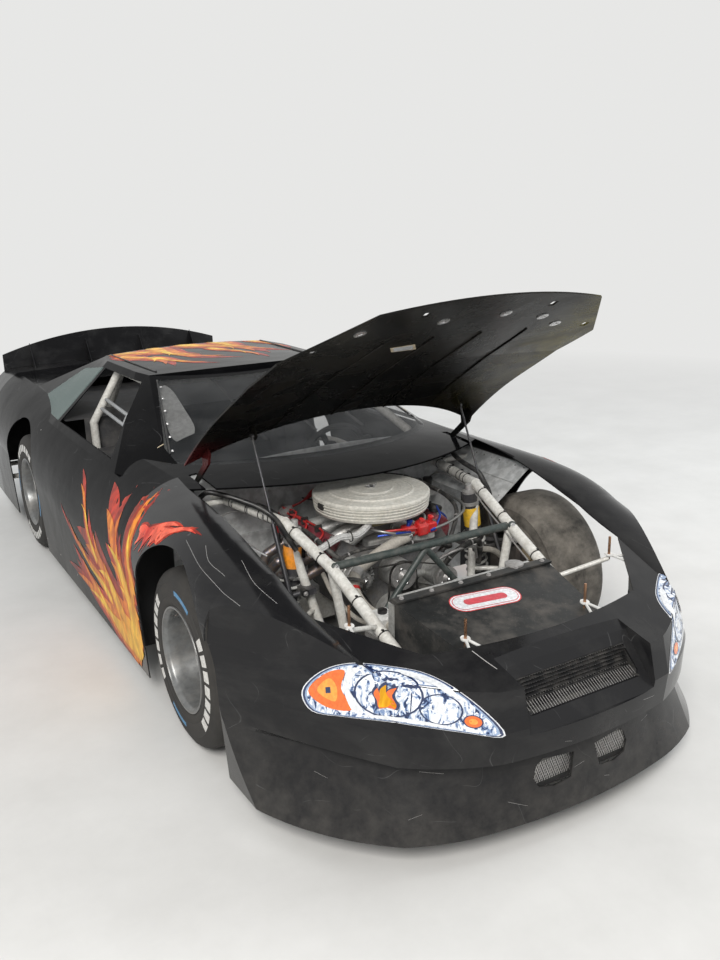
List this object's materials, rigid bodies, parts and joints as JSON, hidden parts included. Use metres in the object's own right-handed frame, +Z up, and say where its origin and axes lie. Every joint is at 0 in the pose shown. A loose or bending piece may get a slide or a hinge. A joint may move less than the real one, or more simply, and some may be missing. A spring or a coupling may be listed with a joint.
{
  "type": "stock car",
  "caption": "Asphalt late-model stock car with a wedge-shaped panel body, hood propped open on struts, tube chassis, front engine, roll cage, stripped cabin and rear spoiler.",
  "frame": {"origin": "on the floor at the centre of the bounding box", "axes": "+Z up, -Y toward the nose, +X toward the car's left side"},
  "size_m": [1.9632, 5.0745, 1.7016],
  "materials": {
    "nose_black": "satin, dusty",
    "body_black": "gloss with flames",
    "hood_black": "gloss composite",
    "spoiler_black": "satin",
    "clear_glass": "clear",
    "tube_white": "semi-gloss, dusty",
    "brace_grey": "satin",
    "sheet_grey": "dull sheet",
    "seat_black": "matte",
    "engine_iron": "dull",
    "cover_maroon": "gloss",
    "filter_white": "matte",
    "header_steel": "heat-stained",
    "cast_alloy": "dull",
    "duct_black": "matte",
    "mesh_dark": "dark wire",
    "arm_paint": "satin",
    "hub_iron": "dull",
    "strut_steel": "satin",
    "pin_metal": "plated",
    "wheel_grey": "satin",
    "tyre_rubber": "dusty"
  },
  "bodies": {
    "car": {"nose_panel": "nose_black", "fender_left": "nose_black", "fender_right": "nose_black", "cowl_panel": "body_black", "door_panels": "body_black", "quarter_panels": "body_black", "deck_lid": "body_black", "tail_panel": "nose_black", "roof": "body_black", "windshield": "clear_glass", "rear_window": "clear_glass", "quarter_windows": "clear_glass", "spoiler": "spoiler_black", "frame_rails": "tube_white", "roll_cage": "tube_white", "front_clip": "tube_white", "cross_brace": "brace_grey", "firewall": "sheet_grey", "hinge_brackets": "strut_steel", "cockpit": "sheet_grey", "seat": "seat_black", "steering_wheel": "seat_black", "engine_block": "engine_iron", "valve_covers": "cover_maroon", "air_cleaner": "filter_white", "headers": "header_steel", "engine_accessories": "cast_alloy", "radiator": "cast_alloy", "radiator_duct": "duct_black", "grille": "mesh_dark", "inlet_meshes": "mesh_dark", "front_suspension": "arm_paint", "rear_axle": "engine_iron", "rear_suspension": "arm_paint", "driveline": "header_steel", "fuel_cell": "duct_black", "hood_pins": "pin_metal"},
    "hood": {"hood": "hood_black"},
    "strut_tube_left": {"strut_tube_left": "strut_steel"},
    "strut_tube_right": {"strut_tube_right": "strut_steel"},
    "strut_rod_left": {"strut_rod_left": "strut_steel"},
    "strut_rod_right": {"strut_rod_right": "strut_steel"},
    "steer_left": {"knuckle_left": "hub_iron"},
    "steer_right": {"knuckle_right": "hub_iron"},
    "steering_link": {"tie_rods": "arm_paint"},
    "wheel_front_left": {"rim_front_left": "wheel_grey", "tyre_front_left": "tyre_rubber"},
    "wheel_front_right": {"rim_front_right": "wheel_grey", "tyre_front_right": "tyre_rubber"},
    "wheel_rear_left": {"rim_rear_left": "wheel_grey", "tyre_rear_left": "tyre_rubber"},
    "wheel_rear_right": {"rim_rear_right": "wheel_grey", "tyre_rear_right": "tyre_rubber"}
  },
  "joints": [
    {"name": "hood_hinge", "type": "hinge", "parent": "car", "child": "hood", "pos_m": [0, -0.825, 0.87], "axis": [1, 0, 0], "range_deg": [0, 43.5]},
    {"name": "strut_swing_left", "type": "hinge", "parent": "car", "child": "strut_tube_left", "pos_m": [0.508, -1.45, 0.45], "axis": [1, 0, 0], "range_deg": [-4.8, 0]},
    {"name": "strut_slide_left", "type": "slide", "parent": "strut_tube_left", "child": "strut_rod_left", "axis": [0, 0.4365, 0.8997], "range_m": [-0.28538, 0]},
    {"name": "strut_swing_right", "type": "hinge", "parent": "car", "child": "strut_tube_right", "pos_m": [-0.508, -1.45, 0.45], "axis": [1, 0, 0], "range_deg": [-4.8, 0]},
    {"name": "strut_slide_right", "type": "slide", "parent": "strut_tube_right", "child": "strut_rod_right", "axis": [0, 0.4365, 0.8997], "range_m": [-0.28538, 0]},
    {"name": "steer_left", "type": "hinge", "parent": "car", "child": "steer_left", "pos_m": [0.69, -1.31, 0.35], "axis": [0, 0, 1], "range_deg": [-18, 18]},
    {"name": "steer_right", "type": "hinge", "parent": "car", "child": "steer_right", "pos_m": [-0.69, -1.31, 0.35], "axis": [0, 0, 1], "range_deg": [-18, 18]},
    {"name": "link_slide", "type": "slide", "parent": "car", "child": "steering_link", "axis": [1, 0, 0], "range_m": [-0.04241, 0.04241]},
    {"name": "spin_front_left", "type": "hinge", "parent": "steer_left", "child": "wheel_front_left", "pos_m": [0.8, -1.31, 0.35], "axis": [1, 0, 0], "continuous": true},
    {"name": "spin_front_right", "type": "hinge", "parent": "steer_right", "child": "wheel_front_right", "pos_m": [-0.8, -1.31, 0.35], "axis": [1, 0, 0], "continuous": true},
    {"name": "spin_rear_left", "type": "hinge", "parent": "car", "child": "wheel_rear_left", "pos_m": [0.8, 1.31, 0.35], "axis": [1, 0, 0], "continuous": true},
    {"name": "spin_rear_right", "type": "hinge", "parent": "car", "child": "wheel_rear_right", "pos_m": [-0.8, 1.31, 0.35], "axis": [1, 0, 0], "continuous": true}
  ],
  "couplings": [
    {"joint": "strut_swing_left", "follows": "hood_hinge", "ratio": -0.11045},
    {"joint": "strut_slide_left", "follows": "hood_hinge", "m_per_rad": -0.37589},
    {"joint": "strut_swing_right", "follows": "hood_hinge", "ratio": -0.11045},
    {"joint": "strut_slide_right", "follows": "hood_hinge", "m_per_rad": -0.37589},
    {"joint": "steer_right", "follows": "steer_left", "ratio": 1},
    {"joint": "link_slide", "follows": "steer_left", "m_per_rad": 0.135}
  ]
}
